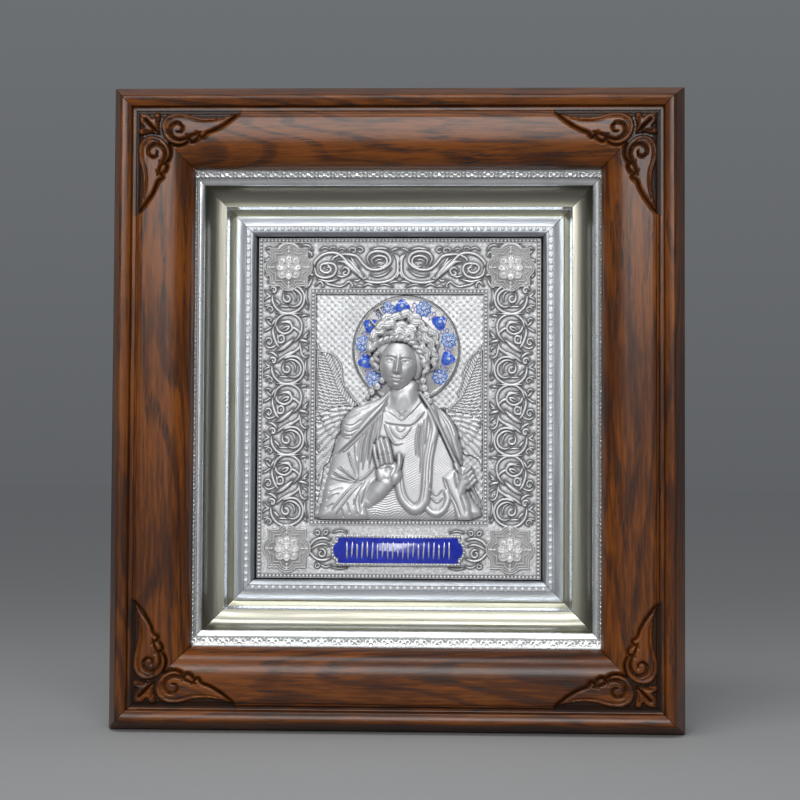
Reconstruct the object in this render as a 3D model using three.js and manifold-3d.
// Framed icon panel: a mitred wooden frame with carved corners, a silver-leaf inner
// moulding, and a stamped silver relief cover with a winged half figure, a halo,
// corner rosettes and a name plate. Millimetres, +Z up, the front looks along -Y.
// The origin is at the middle of the underside.
import * as THREE from 'three';
import { mergeVertices } from 'three/addons/utils/BufferGeometryUtils.js';
import Module from 'manifold-3d';

const wasm = await Module();
wasm.setup();

// Overall size
const FRAME_WIDTH = 300;
const FRAME_HEIGHT = 336;
const FRAME_DEPTH = 52;
const FRONT_Y = -FRAME_DEPTH / 2;
const CENTRE_Z = FRAME_HEIGHT / 2;
const GAP = 0.3;

// Levels behind the front of the frame
const COVER_LEVEL = 32.5;
const COVER_BACK = 46;
const BOARD_LEVEL = 46.3;
const BOARD_BACK = 50;

// Relief cover, seen in its own plane: u to the right, v up, heights towards the viewer
const COVER_WIDTH = 150;
const COVER_HEIGHT = 180;
const BORDER = 28.5;
const RECESS_DEPTH = 3.5;
const BEAD_BAND = 1.9;
const RECESS_RAISE = 0.5;
const BORDER_CENTRE = 14.3;

// Inner moulding: half width and half height at the start of its cove
const LINER_HALF_WIDTH = 102;
const LINER_HALF_HEIGHT = 116.6;

// Frame moulding: inset from the outer edge, then level behind the front
const CHAMFER = 5.6;
const CHAMFER_LEVEL = 15.4;
const GROOVE_START = 10.7;
const GROOVE_END = 14;
const GROOVE_LEVEL = 5.5;
const SIGHT_INSET = 43.5;
const SIGHT_LEVEL = 10.2;
const REBATE_INSET = 36;
const REBATE_LEVEL = 14;

const FRAME_PROFILE = [
  [0, FRAME_DEPTH], [0, CHAMFER_LEVEL], [CHAMFER, 1.2], [CHAMFER + 0.5, 0.8],
  [GROOVE_START, 2], [GROOVE_START + 0.5, GROOVE_LEVEL], [13.6, GROOVE_LEVEL],
  [GROOVE_END, 2.3], [14.9, 1.7], [15.3, 0.6], [17, 0], [31, 0.3], [36, 1.7],
  [39.6, 3.8], [42.2, 6.7], [SIGHT_INSET, SIGHT_LEVEL], [SIGHT_INSET, REBATE_LEVEL],
  [REBATE_INSET, REBATE_LEVEL], [REBATE_INSET, FRAME_DEPTH],
];

// The liner's inset is counted inwards from the start of its cove
const LINER_OUTER = -11.5;
const LINER_LIP = 25.8;
const LINER_PROFILE = [
  [LINER_OUTER, COVER_BACK], [LINER_OUTER, REBATE_LEVEL + GAP], [-7.4, REBATE_LEVEL + GAP],
  [-5, 14.7], [-2.9, 16], [-2.5, 16.9], [-0.5, 17.3], [0, 18.4], [0.7, 21.4], [2.2, 23.9],
  [4.4, 25.8], [7.4, 26.9], [10.4, 27.2], [10.7, 28.3], [11.5, 29.5], [14.6, 31.6],
  [15, 30.8], [20.2, 27.6], [20.8, 28.3], [21.8, 27.7], [22.8, 28.3], [23.4, 27.9],
  [LINER_LIP, 29.6], [LINER_LIP, COVER_BACK],
];

const WOOD = { color: 0x6b3a22, roughness: 0.4, metalness: 0 };
const LEAF = { color: 0xb9bdc2, roughness: 0.35, metalness: 0.9 };
const SILVER = { color: 0x9d9da0, roughness: 0.42, metalness: 0.9 };
const ENAMEL = { color: 0x1c2f9a, roughness: 0.15, metalness: 0.1 };
const BOARD = { color: 0x6f5236, roughness: 0.85, metalness: 0 };

const icon = new THREE.Group();

// Adds a named mesh with its own material
function addPiece(parent, name, geometry, finish) {
  const mesh = new THREE.Mesh(geometry, new THREE.MeshStandardMaterial(finish));
  mesh.name = name;
  parent.add(mesh);
  return mesh;
}

// A geometry with its shared points made one, and nothing on them but their places
function merge(geometry) {
  const bare = geometry.clone();
  bare.deleteAttribute('normal');
  bare.deleteAttribute('uv');
  return mergeVertices(bare, 1e-4);
}

// A closed geometry as a solid for cutting and joining
function toSolid(geometry) {
  const merged = merge(geometry);
  return new wasm.Manifold(new wasm.Mesh({
    numProp: 3,
    vertProperties: new Float32Array(merged.attributes.position.array),
    triVerts: new Uint32Array(merged.index.array),
  }));
}

// A solid's mesh, with points closer than the weld distance made one
function toGeometry(solid) {
  const weld = 2e-3;
  const mesh = solid.getMesh();
  const raw = new THREE.BufferGeometry();
  raw.setAttribute('position', new THREE.BufferAttribute(mesh.vertProperties, 3));
  raw.setIndex(new THREE.BufferAttribute(mesh.triVerts, 1));
  const geometry = mergeVertices(raw, weld);
  const corners = geometry.index.array;
  const kept = [];
  for (let i = 0; i < corners.length; i += 3) {
    const [a, b, c] = corners.subarray(i, i + 3);
    if (a !== b && b !== c && c !== a) kept.push(a, b, c);
  }
  geometry.setIndex(kept);
  return geometry;
}

function joinAll(solids) {
  let whole = solids[0];
  for (const solid of solids.slice(1)) whole = whole.add(solid);
  return whole;
}

// Maps a geometry's points; a mapping that mirrors it turns its faces back outwards
function mapPoints(geometry, mapping, mirrors) {
  const mapped = merge(geometry);
  const position = mapped.attributes.position;
  for (let i = 0; i < position.count; i += 1) {
    const point = mapping(position.getX(i), position.getY(i), position.getZ(i));
    position.setXYZ(i, ...point);
  }
  if (mirrors) {
    const index = mapped.index.array;
    for (let i = 0; i < index.length; i += 3) {
      [index[i], index[i + 1]] = [index[i + 1], index[i]];
    }
  }
  return mapped;
}

// Mitred mouldings

// A length of moulding from its profile of [inset, level] points. The mitred ends follow
// the inset; halfLength is half the outer edge, clearance opens the joint.
function mitredLength(profile, halfLength, clearance) {
  const count = profile.length;
  const positions = [];
  for (const end of [-1, 1]) {
    for (const [inset, level] of profile) {
      positions.push(end * (halfLength - inset - clearance), level, inset);
    }
  }
  const index = [];
  for (let i = 0; i < count; i += 1) {
    const next = (i + 1) % count;
    index.push(i, count + next, next, i, count + i, count + next);
  }
  const outline = profile.map(([inset, level]) => new THREE.Vector2(inset, level));
  for (const [a, b, c] of THREE.ShapeUtils.triangulateShape(outline, [])) {
    index.push(a, b, c);
    index.push(count + a, count + c, count + b);
  }
  const geometry = new THREE.BufferGeometry();
  geometry.setAttribute('position', new THREE.Float32BufferAttribute(positions, 3));
  geometry.setIndex(index);
  return geometry;
}

// Places a length on one side of a rectangle; a point comes as (along, level, inset)
function placeSide(geometry, side, halfWidth, halfHeight) {
  const y = (level) => FRONT_Y + level;
  const places = {
    bottom: (along, level, inset) => [along, y(level), CENTRE_Z - halfHeight + inset],
    top: (along, level, inset) => [along, y(level), CENTRE_Z + halfHeight - inset],
    left: (along, level, inset) => [-halfWidth + inset, y(level), CENTRE_Z + along],
    right: (along, level, inset) => [halfWidth - inset, y(level), CENTRE_Z + along],
  };
  const mirrors = side === 'top' || side === 'left';
  return mapPoints(geometry, places[side], mirrors);
}

// Carved corners

const CARVING_LEVEL = 3.6;
const LEAF_TIP = [65.8, 15.4];
const VOLUTE = [35.2, 24.5];
const VOLUTE_RADIUS = 6.1;
const EYE_RADIUS = 2.3;
const CURVE_STEPS = 2;

// The scroll leaf in corner coordinates: a along the frame's edge, b inwards
function scrollLeaf() {
  const leaf = new THREE.Shape();
  const [tipA, tipB] = LEAF_TIP;
  const [centreA, centreB] = VOLUTE;
  leaf.moveTo(tipA, tipB);
  leaf.quadraticCurveTo(58, 21.5, 50.4, 24.9);
  leaf.lineTo(49.4, 27.2);
  leaf.quadraticCurveTo(47, 28.6, 45.3, 26.6);
  leaf.quadraticCurveTo(44.2, 29.2, 41, 28.4);
  leaf.absarc(centreA, centreB, VOLUTE_RADIUS, 0.6, 3.3, false);
  leaf.quadraticCurveTo(29.6, 16.6, 36.5, 14.8);
  leaf.quadraticCurveTo(43.5, 14.4, 50, 16.6);
  leaf.quadraticCurveTo(58, 18, tipA, tipB);
  return leaf;
}

// The three-pointed leaf that looks into the corner, the same on both sides of the mitre
function cornerPalmette() {
  const half = [[27.6, 24], [26.9, 20], [27, 15.9], [24.4, 14.6], [22.4, 18.4], [18.6, 15.6]];
  const tip = [14.6, 14.6];
  const base = [26.4, 26.4];
  const mirrored = half.map(([a, b]) => [b, a]).reverse();
  const outline = [base, ...half, tip, ...mirrored];
  return new THREE.Shape(outline.map(([a, b]) => new THREE.Vector2(a, b)));
}

function swapAxes(shape) {
  const points = shape.getPoints(CURVE_STEPS).map((point) => new THREE.Vector2(point.y, point.x));
  return new THREE.Shape(points.reverse());
}

// What the carver takes out of a corner: the ground around the leaves, and the two eyes
function cornerCutters() {
  const side = [[67.6, 14.6], [58.8, 22.6], [51.4, 27.6], [46, 31], [38, 32.2], [31, 30.4]];
  const edge = 12.4;
  const mirrored = side.map(([a, b]) => [b, a]).reverse();
  const outline = [[edge, edge], [67.6, edge], ...side, ...mirrored, [edge, 67.6]];
  const ground = new THREE.Shape(outline.map(([a, b]) => new THREE.Vector2(a, b)));
  const leaf = new THREE.Shape(scrollLeaf().getPoints(CURVE_STEPS));
  ground.holes.push(leaf, swapAxes(leaf), cornerPalmette());
  const options = { depth: CARVING_LEVEL + 1, bevelEnabled: false };
  const cutters = [new THREE.ExtrudeGeometry(ground, options)];
  for (const [a, b] of [VOLUTE, [VOLUTE[1], VOLUTE[0]]]) {
    const eye = new THREE.CylinderGeometry(EYE_RADIUS, EYE_RADIUS, CARVING_LEVEL + 1, 7);
    eye.rotateX(Math.PI / 2);
    eye.translate(a, b, (CARVING_LEVEL + 1) / 2);
    cutters.push(eye);
  }
  return cutters;
}

const cutterGeometries = cornerCutters();

// The cutters at one of the four corners, sideX and sideZ being -1 or 1
function cuttersAt(sideX, sideZ) {
  const place = (a, b, level) => [
    sideX * (FRAME_WIDTH / 2 - a),
    FRONT_Y + level - 1,
    CENTRE_Z + sideZ * (FRAME_HEIGHT / 2 - b),
  ];
  const mirrors = sideX * sideZ > 0;
  return cutterGeometries.map((cutter) => toSolid(mapPoints(cutter, place, mirrors)));
}

function woodenLength(side) {
  const upright = side === 'left' || side === 'right';
  const halfLength = (upright ? FRAME_HEIGHT : FRAME_WIDTH) / 2;
  const length = mitredLength(FRAME_PROFILE, halfLength, GAP / 2);
  let solid = toSolid(placeSide(length, side, FRAME_WIDTH / 2, FRAME_HEIGHT / 2));
  const corners = {
    top: [[-1, 1], [1, 1]],
    bottom: [[-1, -1], [1, -1]],
    left: [[-1, -1], [-1, 1]],
    right: [[1, -1], [1, 1]],
  };
  for (const [sideX, sideZ] of corners[side]) {
    for (const cutter of cuttersAt(sideX, sideZ)) solid = solid.subtract(cutter);
  }
  return toGeometry(solid);
}

const WOOD_NAMES = {
  top: 'frame_top_rail',
  bottom: 'frame_bottom_rail',
  left: 'frame_left_stile',
  right: 'frame_right_stile',
};

for (const side of ['top', 'bottom', 'left', 'right']) {
  addPiece(icon, WOOD_NAMES[side], woodenLength(side), WOOD);
  const upright = side === 'left' || side === 'right';
  const halfLength = upright ? LINER_HALF_HEIGHT : LINER_HALF_WIDTH;
  const length = mitredLength(LINER_PROFILE, halfLength, GAP / 2);
  const placed = placeSide(length, side, LINER_HALF_WIDTH, LINER_HALF_HEIGHT);
  addPiece(icon, `liner_${side}`, placed, LEAF);
}

// Relief pieces, modelled lying in the cover's plane

// Applied on the cover's border: the corner rosettes and the name plate
const ROSETTE_U = 59;
const ROSETTE_V = 74.5;
const ROSETTE_SQUARE = 10.2;
const ROSETTE_REACH = 6.6;
const ROSETTE_LOBE = 6;
const ROSETTE_LEVEL = 1.7;
const PETAL_REACH = 4.4;
const PLATE_V = -75.2;
const PLATE_HALF_WIDTH = 33;
const PLATE_HALF_HEIGHT = 8.2;
const PLATE_BULGE = 2.4;
const PLATE_LOW = 1.2;
const PLATE_TOP = 2.6;

const cover = new THREE.Group();
cover.rotation.x = Math.PI / 2;
cover.position.set(0, FRONT_Y + COVER_LEVEL, CENTRE_Z);
icon.add(cover);

const GROUND = -RECESS_DEPTH;
const FLOOR = GROUND + GAP;
const recessHalfWidth = COVER_WIDTH / 2 - BORDER - BEAD_BAND;
const recessHalfHeight = COVER_HEIGHT / 2 - BORDER - BEAD_BAND + 0.3;

function block(width, height, low, high, u = 0, v = 0) {
  const geometry = new THREE.BoxGeometry(width, height, high - low);
  geometry.translate(u, v, (low + high) / 2);
  return toSolid(geometry);
}

// A flat slab of a smooth outline through the points, or of a straight-sided one
function slab(points, low, high, smooth = true, divisions = 2) {
  let outline = points.map(([u, v]) => new THREE.Vector2(u, v));
  if (smooth) {
    outline = new THREE.SplineCurve([...outline, outline[0]]).getPoints(points.length * divisions);
    outline.pop();
  }
  if (THREE.ShapeUtils.isClockWise(outline)) outline.reverse();
  const options = { depth: high - low, bevelEnabled: false };
  const geometry = new THREE.ExtrudeGeometry(new THREE.Shape(outline), options);
  geometry.translate(0, 0, low);
  return toSolid(geometry);
}

// A rounded swelling: an ellipsoid with half sizes along u, v and height
function swelling(u, v, height, halfU, halfV, halfHeight, turn = 0, around = 8, rings = 4) {
  const geometry = new THREE.SphereGeometry(1, around, rings);
  geometry.rotateX(Math.PI / 2);
  geometry.scale(halfU, halfV, halfHeight);
  geometry.rotateZ(turn);
  geometry.translate(u, v, height);
  return toSolid(geometry);
}

// A rib along a smooth path of [u, v, height] points, with few sides
function rib(path, radius, sides = 5, steps = 6) {
  const curve = new THREE.CatmullRomCurve3(path.map((point) => new THREE.Vector3(...point)));
  const section = new THREE.Shape();
  for (let i = 0; i < sides; i += 1) {
    const angle = (i / sides) * 2 * Math.PI;
    const point = [radius * Math.cos(angle), radius * Math.sin(angle)];
    if (i === 0) section.moveTo(...point);
    else section.lineTo(...point);
  }
  const options = { steps, extrudePath: curve, bevelEnabled: false };
  return toSolid(new THREE.ExtrudeGeometry(section, options));
}

// A raised ring with a ridged top
function ring(u, v, height, radius, width, around = 8) {
  const geometry = new THREE.TorusGeometry(radius, width, 4, around);
  geometry.translate(u, v, height);
  return toSolid(geometry);
}

// A curl that winds inwards from startRadius to endRadius
function curl(u, v, height, startRadius, endRadius, startAngle, sweep, width, steps = 8) {
  const path = [];
  for (let i = 0; i <= steps; i += 1) {
    const part = i / steps;
    const radius = startRadius + (endRadius - startRadius) * part;
    const angle = startAngle + sweep * part;
    path.push([u + radius * Math.cos(angle), v + radius * Math.sin(angle), height]);
  }
  return rib(path, width, 3, steps);
}

// A pointed leaf or feather: eight faces, lying in the plane
function pointedLeaf(u, v, height, length, width, thickness, turn) {
  const geometry = new THREE.OctahedronGeometry(1);
  geometry.scale(length / 2, width / 2, thickness);
  geometry.rotateZ(turn);
  geometry.translate(u, v, height);
  return toSolid(geometry);
}

// Relief cover: border with interlaced scrolls

const RIB_LEVEL = 0.1;
const RIB_WIDTH = 0.9;
const LEAF_LEVEL = 0.3;
const UNIT_HEIGHT = 37.6;
const FIRST_UNIT_TOP = 50;
const UNIT_COUNT = 3;
const UPRIGHT_CENTRE = COVER_WIDTH / 2 - BORDER_CENTRE - 0.9;
const SMALL_ROUNDEL = { drop: 7.2, radius: 7.2, curlStart: 4, curlEnd: 2 };
const LARGE_ROUNDEL = { drop: 28.5, radius: 8.2, curlStart: 5.4, curlEnd: 1.2 };
const LEAF_DROP = 18.4;

// One repeat of an upright border, mirrored by side
function scrollUnit(side, top) {
  const u = side * UPRIGHT_CENTRE;
  const small = SMALL_ROUNDEL;
  const large = LARGE_ROUNDEL;
  const upper = top - small.drop;
  const lower = top - large.drop;
  const parts = [
    ring(u, upper, RIB_LEVEL, small.radius, RIB_WIDTH),
    curl(u, upper, RIB_LEVEL, small.curlStart, small.curlEnd, 0.4, side * 4.6, 0.8, 4),
    pointedLeaf(u - side * 0.6, top - LEAF_DROP, LEAF_LEVEL, 13, 3.4, 1.6, -side * 0.6),
  ];
  const clearOfRosette = -ROSETTE_V + ROSETTE_REACH + ROSETTE_LOBE + large.radius;
  if (lower > clearOfRosette) {
    parts.push(ring(u, lower, RIB_LEVEL, large.radius, RIB_WIDTH));
    parts.push(curl(u, lower, RIB_LEVEL, large.curlStart, large.curlEnd, 1.2, -side * 7.4, 0.9, 5));
  }
  return parts;
}

// The top border's half: an oval band with a curl, a leaf, and a large spiral
function topScroll(side) {
  const v = COVER_HEIGHT / 2 - BORDER_CENTRE;
  const oval = new THREE.TorusGeometry(6.6, RIB_WIDTH, 4, 8);
  oval.scale(1.25, 1, 1);
  oval.translate(side * 39.3, v - 1.4, RIB_LEVEL);
  return [
    toSolid(oval),
    curl(side * 40.3, v - 2, RIB_LEVEL, 3.6, 2, 0, side * 4.6, 0.8, 4),
    pointedLeaf(side * 23.5, v - 1, LEAF_LEVEL, 14, 3.6, 1.7, side * 0.75),
    ring(side * 10.4, v - 0.4, RIB_LEVEL, 8.4, RIB_WIDTH),
    curl(side * 9.8, v + 1, RIB_LEVEL, 5.6, 1.4, 3, side * 6.6, 0.9, 5),
  ];
}

function bottomScroll(side) {
  const v = -COVER_HEIGHT / 2 + BORDER_CENTRE + 1.6;
  return [
    ring(side * 39.8, v, RIB_LEVEL, 5.6, RIB_WIDTH),
    curl(side * 39.8, v, RIB_LEVEL, 3.2, 1, 1.2, side * 5, 0.7, 4),
  ];
}

// The flat places that the rosettes and the name plate sit on
function appliedSeats() {
  const plateWidth = 2 * (PLATE_HALF_WIDTH + PLATE_BULGE + 1);
  const seats = [block(plateWidth, 2 * (PLATE_HALF_HEIGHT + 1), 0, 4, 0, PLATE_V)];
  const rosetteWidth = 2 * (ROSETTE_REACH + ROSETTE_LOBE + 0.6);
  for (const sideU of [-1, 1]) {
    for (const sideV of [-1, 1]) {
      seats.push(block(rosetteWidth, rosetteWidth, 0, 4, sideU * ROSETTE_U, sideV * ROSETTE_V));
    }
  }
  return joinAll(seats);
}

// The low square ridge under a row of beads, around a rectangle
function beadRidge(halfWidth, halfHeight, v) {
  const outer = block(2 * halfWidth, 2 * halfHeight, -1, 0.6, 0, v);
  const inner = block(2 * (halfWidth - BEAD_BAND), 2 * (halfHeight - BEAD_BAND), -2, 2, 0, v);
  return outer.subtract(inner);
}

function reliefCover() {
  const thickness = COVER_BACK - COVER_LEVEL;
  const sheet = block(COVER_WIDTH, COVER_HEIGHT, -thickness, 0);
  const recess = block(2 * recessHalfWidth, 2 * recessHalfHeight, GROUND, 5, 0, RECESS_RAISE);
  const parts = [
    sheet.subtract(recess),
    beadRidge(COVER_WIDTH / 2, COVER_HEIGHT / 2, 0),
    beadRidge(recessHalfWidth + BEAD_BAND, recessHalfHeight + BEAD_BAND, RECESS_RAISE),
    swelling(0.8, COVER_HEIGHT / 2 - BORDER_CENTRE, 0.4, 1.3, 1.3, 1.4, 0, 6, 4),
  ];
  for (const side of [-1, 1]) {
    for (let unit = 0; unit < UNIT_COUNT; unit += 1) {
      parts.push(...scrollUnit(side, FIRST_UNIT_TOP - unit * UNIT_HEIGHT));
    }
    parts.push(...topScroll(side), ...bottomScroll(side));
  }
  return joinAll(parts).subtract(appliedSeats());
}

// Corner rosettes

// The barbed quatrefoil's outline: a round lobe on each side of a square
function barbedQuatrefoil() {
  const outline = [];
  for (let side = 0; side < 4; side += 1) {
    const middle = (side * Math.PI) / 2;
    for (let step = -2; step <= 2; step += 1) {
      const angle = middle + step * 0.5;
      outline.push([
        ROSETTE_REACH * Math.cos(middle) + ROSETTE_LOBE * Math.cos(angle),
        ROSETTE_REACH * Math.sin(middle) + ROSETTE_LOBE * Math.sin(angle),
      ]);
    }
    const corner = middle + Math.PI / 4;
    outline.push([
      ROSETTE_SQUARE * Math.SQRT2 * Math.cos(corner),
      ROSETTE_SQUARE * Math.SQRT2 * Math.sin(corner),
    ]);
  }
  return outline;
}

// A quatrefoil plate with a four-petalled flower and a ball at its middle
function rosette(low) {
  const parts = [slab(barbedQuatrefoil(), low, ROSETTE_LEVEL, false)];
  for (let petal = 0; petal < 4; petal += 1) {
    const turn = ((petal + 0.5) * Math.PI) / 2;
    const u = PETAL_REACH * Math.cos(turn);
    const v = PETAL_REACH * Math.sin(turn);
    parts.push(pointedLeaf(u, v, ROSETTE_LEVEL + 0.1, 8.4, 6.4, 1.6, turn));
  }
  parts.push(swelling(0, 0, ROSETTE_LEVEL + 1, 1.7, 1.7, 1.6, 0, 6, 3));
  return joinAll(parts);
}

// The halo

const HALO_U = 3.6;
const HALO_V = 31.1;
const HALO_RADIUS = 28.8;
const HALO_LEVEL = -1.4;
const HALO_SIDES = 24;
const FLOWER_ANGLES = [66.8, 12, -39, 115.8, 173, 222.6];
const DROP_ANGLES = [95.6, 39, -12.4, 146.5, 197];
const ENAMEL_RADIUS = 23.2;
const PETAL_COUNT = 8;
const PETAL_OUTER = 4.4;
const PETAL_INNER = 2.9;

function halo() {
  const profile = [
    [0, FLOOR], [HALO_RADIUS, FLOOR], [HALO_RADIUS, HALO_LEVEL + 0.9],
    [HALO_RADIUS - 0.8, HALO_LEVEL + 0.9], [HALO_RADIUS - 1, HALO_LEVEL], [0, HALO_LEVEL],
  ];
  const disc = new THREE.LatheGeometry(profile.map(([r, h]) => new THREE.Vector2(r, h)), HALO_SIDES);
  disc.rotateX(Math.PI / 2);
  const parts = [toSolid(disc)];
  for (const angle of FLOWER_ANGLES) {
    const turn = THREE.MathUtils.degToRad(angle);
    const petals = [];
    for (let i = 0; i < 2 * PETAL_COUNT; i += 1) {
      const radius = i % 2 === 0 ? PETAL_OUTER : PETAL_INNER;
      const petal = (i / PETAL_COUNT) * Math.PI;
      petals.push([
        ENAMEL_RADIUS * Math.cos(turn) + radius * Math.cos(petal),
        ENAMEL_RADIUS * Math.sin(turn) + radius * Math.sin(petal),
      ]);
    }
    parts.push(slab(petals, HALO_LEVEL - 0.5, HALO_LEVEL + 0.7, false));
  }
  for (const angle of DROP_ANGLES) {
    const turn = THREE.MathUtils.degToRad(angle);
    const u = ENAMEL_RADIUS * Math.cos(turn);
    const v = ENAMEL_RADIUS * Math.sin(turn);
    parts.push(swelling(u, v, HALO_LEVEL, 3.6, 2.8, 1, turn, 6, 3));
  }
  const solid = joinAll(parts);
  return solid.translate([HALO_U, HALO_V, 0]);
}

// The winged figure

const WING_LEVEL = -0.8;
const BODY_LEVEL = 1.4;

const LEFT_WING = [
  [-44.2, 29.5], [-39.1, 30.4], [-34, 27.6], [-30.3, 22], [-29.4, 13.6], [-24.6, 6.5],
  [-20, 0], [-26, -10], [-32.5, -19.5], [-37.9, -29.5], [-40.3, -37.2], [-44.2, -44.8],
];
const RIGHT_WING = [
  [44.2, 27.4], [40, 27.8], [35.6, 25.4], [33, 19], [32.4, 12.3], [30.3, 5], [22, -0.6],
  [27, -12], [34, -24.6], [39.7, -26.3], [44.2, -30.6],
];
const BODY = [
  [-4.5, 8.9], [-10.8, 4.7], [-18.9, 1.5], [-24.6, -0.8], [-29.2, -6.4], [-30.6, -13],
  [-34, -20], [-36.8, -31.6], [-40.1, -45], [-40.9, -52], [-41, -59], [38.6, -59],
  [38.8, -48], [36.6, -36], [34.6, -27.8], [31.5, -15.8], [27.9, -6.7], [24.5, -2.5],
  [18.2, 1.8], [11.3, 8.6], [3, 7],
];
// Folds of the mantle: the path on the cover's plane, the height of its crest, its width
const FOLDS = [
  { path: [[-5, 8], [-16, 1.5], [-27, -7.5], [-33, -17]], crest: 2.4, width: 3.4 },
  { path: [[9.5, 6.5], [15.5, -3], [22.5, -16], [29.5, -29]], crest: 2.2, width: 2.2 },
  { path: [[17.6, 0.5], [24.5, -6.5], [29.5, -18], [32, -28]], crest: 1.7, width: 2.4 },
  { path: [[12, 2], [8, -12], [6.5, -26], [4, -42], [8, -53]], crest: 2, width: 2.2 },
  { path: [[7, -52], [14.5, -51], [17, -40], [18, -24], [19, -12]], crest: 2, width: 2.2 },
  { path: [[16, -40], [14.6, -50], [19, -55], [25, -51], [26.5, -43]], crest: 1.9, width: 1.8 },
  { path: [[-6.5, -2], [-2, -10], [3, -13.5], [8, -9], [12, -2]], crest: 1.7, width: 1.3 },
  { path: [[-10, -2], [-12, -14], [-13, -26]], crest: 1.5, width: 1.4 },
  { path: [[-16, -8], [-17, -20], [-18, -30]], crest: 1.5, width: 1.4 },
  { path: [[-21, -39], [-28, -34], [-31, -31]], crest: 1.9, width: 1.1 },
  { path: [[-21, -40], [-24, -32], [-27, -24]], crest: 1.9, width: 1.1 },
  { path: [[24, -34], [26, -42], [32, -50], [34, -56]], crest: 2.2, width: 2.6 },
];

// Rows of feathers along a wing, from its shoulder joint outwards
function feathers(hub, rows) {
  const parts = [];
  for (const { radius, from, to, count, length, width } of rows) {
    for (let i = 0; i < count; i += 1) {
      const angle = THREE.MathUtils.degToRad(from + ((to - from) * i) / (count - 1));
      parts.push(pointedLeaf(
        hub[0] + radius * Math.cos(angle), hub[1] + radius * Math.sin(angle),
        WING_LEVEL - 0.1, length, width, 1.2, angle,
      ));
    }
  }
  return parts;
}

function wings() {
  const left = feathers([-23, 2], [
    { radius: 24, from: 116, to: 190, count: 6, length: 12, width: 4.2 },
    { radius: 14, from: 110, to: 200, count: 4, length: 10, width: 4.2 },
    { radius: 32, from: 208, to: 240, count: 4, length: 18, width: 4.4 },
  ]);
  const right = feathers([26, -3], [
    { radius: 26, from: 66, to: 40, count: 3, length: 14, width: 4.2 },
    { radius: 15, from: 66, to: -10, count: 4, length: 12, width: 4.2 },
    { radius: 20, from: -14, to: -60, count: 4, length: 13, width: 4.2 },
  ]);
  return joinAll([
    slab(LEFT_WING, FLOOR, WING_LEVEL),
    slab(RIGHT_WING, FLOOR, WING_LEVEL),
    joinAll(left).intersect(slab(LEFT_WING, FLOOR, 2)),
    joinAll(right).intersect(slab(RIGHT_WING, FLOOR, 2)),
  ]);
}

const HEAD = { u: 0.8, v: 21.8, height: 1.8, halfU: 9.6, halfV: 13.2, halfHeight: 7.4, turn: 0.09 };

// Head with the hair's rolled locks, side curls and the ends of the hair ribbon
function head() {
  const parts = [
    swelling(HEAD.u, HEAD.v, HEAD.height, HEAD.halfU, HEAD.halfV, HEAD.halfHeight, HEAD.turn, 9, 6),
    swelling(0.8, 31, 0.6, 14.6, 17.6, 5.4, 0.06, 10, 5),
    rib([[3.6, 12, 1], [3.8, 2, 0.6]], 7.2, 8, 1),
    rib([[-11.5, 33, 4], [-3, 38.6, 6], [8, 37, 5.6], [15.5, 29, 3.6]], 2.4, 4, 5),
    rib([[-13, 38, 2.6], [-5, 45, 4], [6, 45.4, 4], [14, 39.5, 2.6]], 3.4, 5, 4),
    rib([[-11, 33, 3.4], [-11.8, 23, 2.4], [-10, 16, 2]], 2.4, 4, 3),
    rib([[14.2, 31, 3], [14, 20, 2.4], [12.6, 12, 1.8], [14.6, 6, 1.2]], 2.4, 4, 4),
    swelling(-8.6, 9.6, 2, 4.6, 2.8, 2.4, 0.6, 6, 3),
    swelling(0.6, 20.2, 8.4, 1.1, 3.2, 1.5, 0.09, 6, 3),
    rib([[-5.6, 43, 2.6], [-8.6, 49, 1.4], [-11, 54, 0.9]], 0.7, 4, 2),
  ];
  return joinAll(parts);
}

// A hand: palm, then fingers as capsules from knuckle to tip
function hand(palm, fingers) {
  const { u, v, height, halfU, halfV, thick, turn } = palm;
  const parts = [swelling(u, v, height, halfU, halfV, thick, turn)];
  for (const { path, radius } of fingers) parts.push(rib(path, radius, 4, 2));
  return parts;
}

function hands() {
  const raised = hand(
    { u: -5.2, v: -34, height: 5, halfU: 6.8, halfV: 6.6, thick: 2.8, turn: 0 },
    [
      { path: [[-10.6, -31, 5], [-12.4, -25, 5.6], [-12.8, -20, 5.4]], radius: 1.3 },
      { path: [[-8.4, -29, 5.6], [-9.8, -22, 6.2], [-10.8, -17.6, 6]], radius: 1.4 },
      { path: [[-5.6, -28, 5.8], [-7, -20, 6.4], [-8.8, -16, 6.2]], radius: 1.4 },
      { path: [[-3, -28, 5.6], [-4.6, -20.5, 6.2], [-6, -16.4, 6]], radius: 1.4 },
      { path: [[-0.8, -34, 5.2], [0.8, -29, 5.8], [0.6, -24.8, 5.8]], radius: 1.5 },
      { path: [[-8, -39, 4.4], [-12, -44, 3.2], [-17, -47.5, 2]], radius: 4.6 },
    ],
  );
  const fist = hand(
    { u: 34.4, v: -34.4, height: 2.6, halfU: 5.2, halfV: 5.6, thick: 2.6, turn: -0.5 },
    [0, 1, 2, 3].map((i) => ({
      path: [
        [37.4 + i, -31 - i * 2.4, 3.6],
        [35.4 + i, -33.2 - i * 2.4, 5.4],
        [33 + i, -35.8 - i * 2.2, 3.2],
      ],
      radius: 1.25,
    })),
  );
  const thumb = rib([[32.6, -34.4, 4.6], [30.8, -31.6, 5], [30, -30, 4.8]], 1.3, 4, 2);
  const wrist = rib([[35.6, -39.4, 2.4], [32.6, -47, 1.8]], 3.2, 6, 1);
  const staff = rib([[18.4, 2.6, 2.8], [29.6, -24.6, 3.4], [44, -51.6, 1.4]], 0.9, 5, 3);
  return [...raised, ...fist, thumb, wrist, staff];
}

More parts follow.
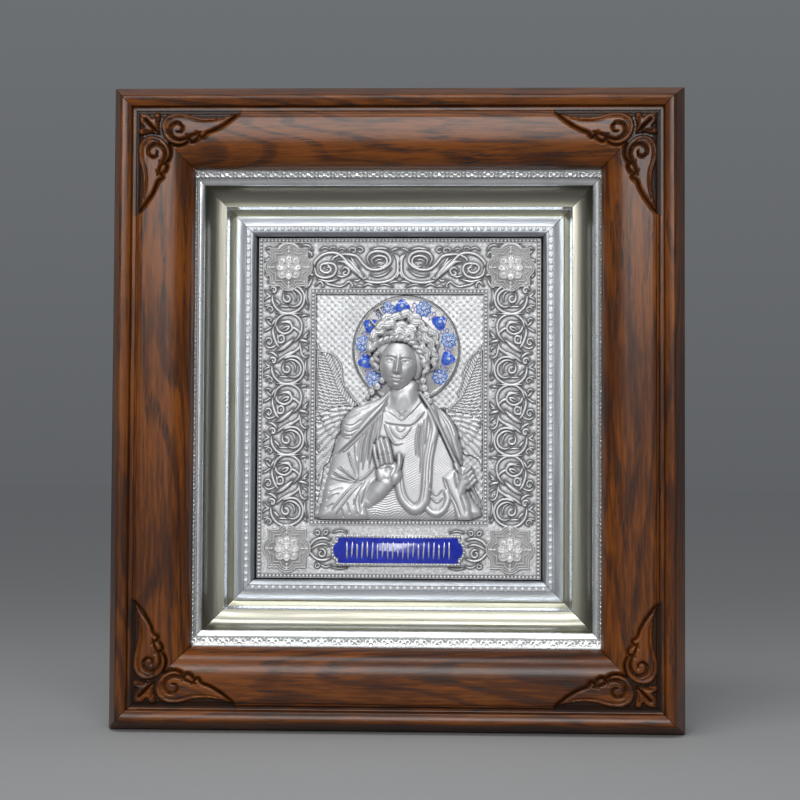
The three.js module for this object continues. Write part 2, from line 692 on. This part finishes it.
function figure() {
  const body = [
    slab(BODY, FLOOR, BODY_LEVEL),
    swelling(-1, -22, 0.2, 30, 32, 3, 0, 10, 4),
    swelling(-28, -49, 1.4, 11.6, 9, 4, 0.1, 8, 4),
  ];
  for (const { path, crest, width } of FOLDS) {
    const raised = path.map(([u, v]) => [u, v, crest]);
    body.push(rib(raised, width, 4, path.length));
  }
  const whole = joinAll([...body, wings(), head(), ...hands()]);
  const roomWidth = 2 * (recessHalfWidth - GAP);
  const roomHeight = 2 * (recessHalfHeight - GAP);
  const room = block(roomWidth, roomHeight, FLOOR, 20, 0, RECESS_RAISE);
  const disc = new THREE.CylinderGeometry(HALO_RADIUS + 0.6, HALO_RADIUS + 0.6, 5, HALO_SIDES);
  disc.rotateX(Math.PI / 2);
  disc.translate(HALO_U, HALO_V, HALO_LEVEL + 0.9 + GAP - 2.5);
  return whole.intersect(room).subtract(toSolid(disc));
}

// The name plate: rounded ends, a raised rim and a row of plain raised strokes

function plateOutline(inset) {
  const w = PLATE_HALF_WIDTH - inset;
  const h = PLATE_HALF_HEIGHT - inset;
  const bulge = w + PLATE_BULGE;
  return [
    [-w, -h], [w, -h], [bulge - 0.7, -h / 2], [bulge, 0], [bulge - 0.7, h / 2],
    [w, h], [-w, h], [-bulge + 0.7, h / 2], [-bulge, 0], [-bulge + 0.7, -h / 2],
  ];
}

function namePlate() {
  const rim = slab(plateOutline(0), PLATE_LOW, PLATE_TOP, false);
  const field = slab(plateOutline(1.5), PLATE_TOP - 0.7, PLATE_TOP + 1, false);
  const parts = [rim.subtract(field)];
  const strokes = 13;
  for (let i = 0; i < strokes; i += 1) {
    const u = -26 + (i * 52) / (strokes - 1);
    const tall = i % 3 === 0 ? 7 : 4.6;
    parts.push(block(1.3, tall, PLATE_TOP - 1, PLATE_TOP - 0.1, u, i % 2 === 0 ? 0.6 : -0.6));
  }
  return joinAll(parts).translate([0, PLATE_V, 0]);
}

addPiece(cover, 'relief_cover', toGeometry(reliefCover()), SILVER);

for (const [sideU, sideV, name] of [
  [-1, 1, 'rosette_top_left'],
  [1, 1, 'rosette_top_right'],
  [-1, -1, 'rosette_bottom_left'],
  [1, -1, 'rosette_bottom_right'],
]) {
  const piece = addPiece(cover, name, toGeometry(rosette(GAP)), SILVER);
  piece.position.set(sideU * ROSETTE_U, sideV * ROSETTE_V, 0);
}
addPiece(cover, 'halo', toGeometry(halo()), SILVER);
addPiece(cover, 'angel_figure', toGeometry(figure()), SILVER);
addPiece(cover, 'name_plate', toGeometry(namePlate()), ENAMEL);

// Back board

const boardWidth = FRAME_WIDTH - 2 * (REBATE_INSET + GAP);
const boardHeight = FRAME_HEIGHT - 2 * (REBATE_INSET + GAP);
const board = new THREE.BoxGeometry(boardWidth, BOARD_BACK - BOARD_LEVEL, boardHeight);
const backBoard = addPiece(icon, 'back_board', board, BOARD);
backBoard.position.set(0, FRONT_Y + (BOARD_LEVEL + BOARD_BACK) / 2, CENTRE_Z);

export default icon;
